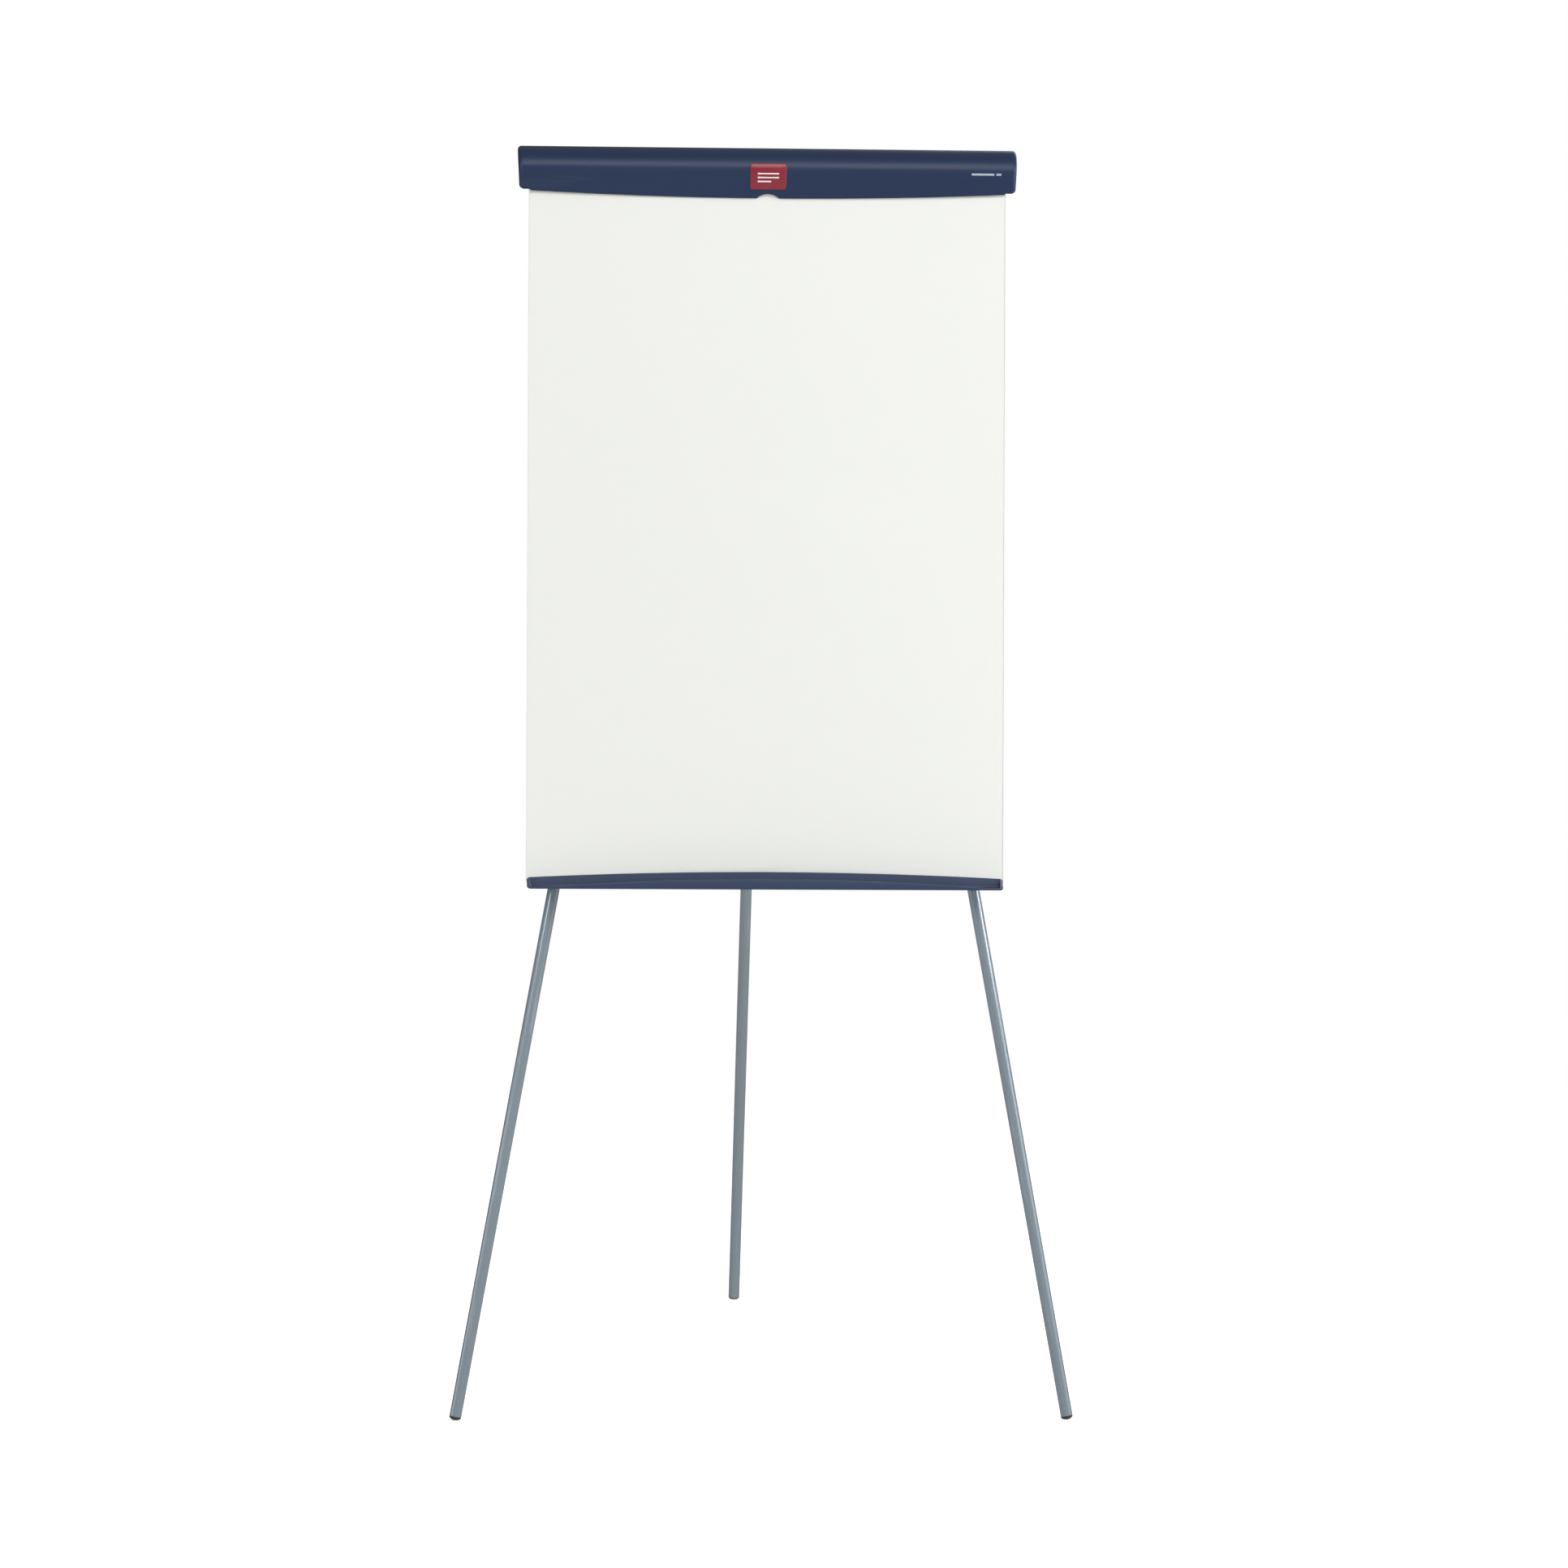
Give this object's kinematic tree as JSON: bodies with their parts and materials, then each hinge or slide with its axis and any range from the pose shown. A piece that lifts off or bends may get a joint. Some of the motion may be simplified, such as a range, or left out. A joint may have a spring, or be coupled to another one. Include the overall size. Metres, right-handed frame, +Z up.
{
  "type": "flipchart easel",
  "caption": "Tripod flipchart easel: leaning white board with a sprung curved pad clamp along its top, an arched pen tray, and telescopic round legs that fold.",
  "frame": {"origin": "on the floor, at the middle of the object's box seen from above", "axes": "+Z up; +X to the right of someone facing the board; the board faces -Y and leans back by 7 degrees"},
  "size_m": [0.8834, 0.8847, 1.788],
  "materials": {
    "navy_plastic": "satin",
    "red_badge": "satin",
    "melamine": "satin",
    "fibreboard": "matte",
    "rail_alloy": "satin",
    "plate_paint": "satin",
    "zinc_steel": "satin",
    "black_plastic": "matte",
    "leg_paint": "satin",
    "foot_rubber": "matte"
  },
  "bodies": {
    "board": {"board_core": "fibreboard", "writing_face": "melamine", "board_back_sheet": "melamine", "edge_band_left": "melamine", "edge_band_right": "melamine", "top_rail": "rail_alloy", "pen_tray": "navy_plastic", "tray_screw_1": "zinc_steel", "tray_screw_2": "zinc_steel", "tray_screw_3": "zinc_steel", "tray_screw_4": "zinc_steel", "head_plate": "plate_paint", "head_screw_1": "zinc_steel", "head_screw_2": "zinc_steel", "head_screw_3": "zinc_steel", "head_screw_4": "zinc_steel", "rear_clevis": "plate_paint", "rear_pivot_bolt": "zinc_steel", "rear_pivot_nut": "zinc_steel", "leg_pivot_bolt_left": "zinc_steel", "leg_pivot_bolt_right": "zinc_steel", "leg_pivot_bush_left": "black_plastic", "leg_pivot_bush_right": "black_plastic", "leg_clip_left": "black_plastic", "leg_clip_right": "black_plastic", "clip_screw_left": "zinc_steel", "clip_screw_right": "zinc_steel", "hinge_bracket_left": "plate_paint", "hinge_bracket_right": "plate_paint", "bracket_screw_left": "zinc_steel", "bracket_screw_right": "zinc_steel", "hinge_rod": "zinc_steel", "torsion_spring_left": "zinc_steel", "torsion_spring_right": "zinc_steel"},
    "pad_clamp": {"clamp_bar": "navy_plastic", "clamp_badge": "red_badge"},
    "left_pad_hook": {"pad_hook_left": "black_plastic"},
    "right_pad_hook": {"pad_hook_right": "black_plastic"},
    "left_leg": {"upper_tube_left": "leg_paint", "tube_cap_left": "black_plastic", "lock_collar_left": "black_plastic"},
    "left_leg_lower": {"lower_tube_left": "leg_paint", "slide_bush_left": "black_plastic", "foot_plug_left": "foot_rubber"},
    "left_lock_knob": {"lock_knob_left": "black_plastic"},
    "right_leg": {"upper_tube_right": "leg_paint", "tube_cap_right": "black_plastic", "lock_collar_right": "black_plastic"},
    "right_leg_lower": {"lower_tube_right": "leg_paint", "slide_bush_right": "black_plastic", "foot_plug_right": "foot_rubber"},
    "right_lock_knob": {"lock_knob_right": "black_plastic"},
    "rear_leg": {"upper_tube_rear": "leg_paint", "tube_cap_rear": "black_plastic", "lock_collar_rear": "black_plastic"},
    "rear_leg_lower": {"lower_tube_rear": "leg_paint", "slide_bush_rear": "black_plastic", "foot_plug_rear": "foot_rubber"},
    "rear_lock_knob": {"lock_knob_rear": "black_plastic"}
  },
  "joints": [
    {"name": "clamp_hinge", "type": "hinge", "parent": "board", "child": "pad_clamp", "pos_m": [0, -0.22953, 1.76621], "axis": [-1, 0, 0], "range_deg": [0, 65], "stiffness_Nm_per_rad": 0.25, "springref_deg": -34.38, "deforming": ["torsion_spring_left", "torsion_spring_right"]},
    {"name": "left_hook_slide", "type": "slide", "parent": "board", "child": "left_pad_hook", "axis": [1, 0, 0], "range_m": [-0.09, 0.11]},
    {"name": "right_hook_slide", "type": "slide", "parent": "board", "child": "right_pad_hook", "axis": [-1, 0, 0], "range_m": [-0.09, 0.11]},
    {"name": "left_leg_fold", "type": "hinge", "parent": "board", "child": "left_leg", "pos_m": [-0.134, -0.23322, 1.6377], "axis": [0, -0.9925, 0.1219], "range_deg": [0, 10]},
    {"name": "left_leg_slide", "type": "slide", "parent": "left_leg", "child": "left_leg_lower", "axis": [0.1789, 0.1199, 0.9765], "range_m": [0, 0.6]},
    {"name": "left_knob_turn", "type": "hinge", "parent": "left_leg", "child": "left_lock_knob", "pos_m": [-0.28391, -0.30987, 0.81644], "axis": [0, 0.9925, -0.1219], "range_deg": [0, 540]},
    {"name": "right_leg_fold", "type": "hinge", "parent": "board", "child": "right_leg", "pos_m": [0.134, -0.23322, 1.6377], "axis": [0, 0.9925, -0.1219], "range_deg": [0, 10]},
    {"name": "right_leg_slide", "type": "slide", "parent": "right_leg", "child": "right_leg_lower", "axis": [-0.1789, 0.1199, 0.9765], "range_m": [0, 0.6]},
    {"name": "right_knob_turn", "type": "hinge", "parent": "right_leg", "child": "right_lock_knob", "pos_m": [0.28391, -0.30987, 0.81644], "axis": [0, 0.9925, -0.1219], "range_deg": [0, 540]},
    {"name": "rear_leg_fold", "type": "hinge", "parent": "board", "child": "rear_leg", "pos_m": [0, -0.19947, 1.63356], "axis": [-1, 0, 0], "range_deg": [0, 28]},
    {"name": "rear_leg_slide", "type": "slide", "parent": "rear_leg", "child": "rear_leg_lower", "axis": [0, -0.3624, 0.932], "range_m": [0, 0.6]},
    {"name": "rear_knob_turn", "type": "hinge", "parent": "rear_leg", "child": "rear_lock_knob", "pos_m": [0, 0.12659, 0.86122], "axis": [0, 0.932, 0.3624], "range_deg": [0, 540]}
  ]
}
